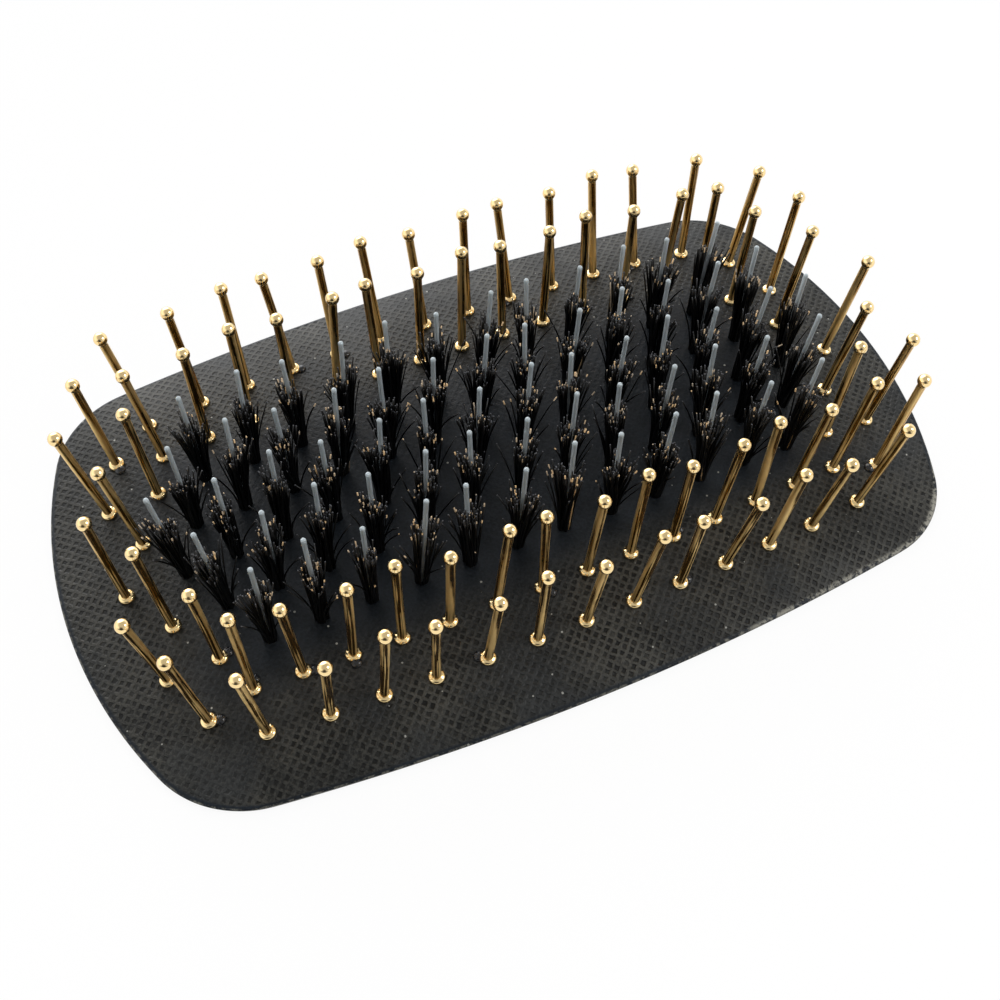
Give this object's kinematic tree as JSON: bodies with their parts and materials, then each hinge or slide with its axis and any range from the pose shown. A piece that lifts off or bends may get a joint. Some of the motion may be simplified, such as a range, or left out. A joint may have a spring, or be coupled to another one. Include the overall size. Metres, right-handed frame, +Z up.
{
  "type": "pet brush cushion",
  "caption": "Crowned rubber cushion pad of a grooming brush, with rings of ball-tipped metal pins round a field of quills in bristle tufts.",
  "frame": {"origin": "centre of the plane that the pad's rim rests on", "axes": "+X along the pad, +Y across it to the back, +Z up along the pins"},
  "size_m": [0.1156, 0.069, 0.0212],
  "materials": {
    "rubber": "moulded natural rubber with a fine canvas emboss",
    "pin_metal": "gold-plated steel wire, polished ball",
    "quill_nylon": "translucent nylon",
    "bristle": "glossy black filament with cut tan tips"
  },
  "bodies": {
    "root": {"cushion_pad": "rubber", "outer_pins_front_left": "pin_metal", "outer_pins_front_right": "pin_metal", "outer_pins_back_left": "pin_metal", "outer_pins_back_right": "pin_metal", "outer_pins_left_end": "pin_metal", "outer_pins_right_end": "pin_metal", "inner_pins_front_left": "pin_metal", "inner_pins_front_right": "pin_metal", "inner_pins_back_left": "pin_metal", "inner_pins_back_right": "pin_metal", "inner_pins_left_end": "pin_metal", "inner_pins_right_end": "pin_metal", "quills_row_1_left": "quill_nylon", "bristles_row_1_left": "bristle", "quills_row_1_right": "quill_nylon", "bristles_row_1_right": "bristle", "quills_row_2_left": "quill_nylon", "bristles_row_2_left": "bristle", "quills_row_2_right": "quill_nylon", "bristles_row_2_right": "bristle", "quills_row_3_left": "quill_nylon", "bristles_row_3_left": "bristle", "quills_row_3_right": "quill_nylon", "bristles_row_3_right": "bristle", "quills_row_4_left": "quill_nylon", "bristles_row_4_left": "bristle", "quills_row_4_right": "quill_nylon", "bristles_row_4_right": "bristle", "quills_row_5_left": "quill_nylon", "bristles_row_5_left": "bristle", "quills_row_5_right": "quill_nylon", "bristles_row_5_right": "bristle"}
  },
  "joints": []
}
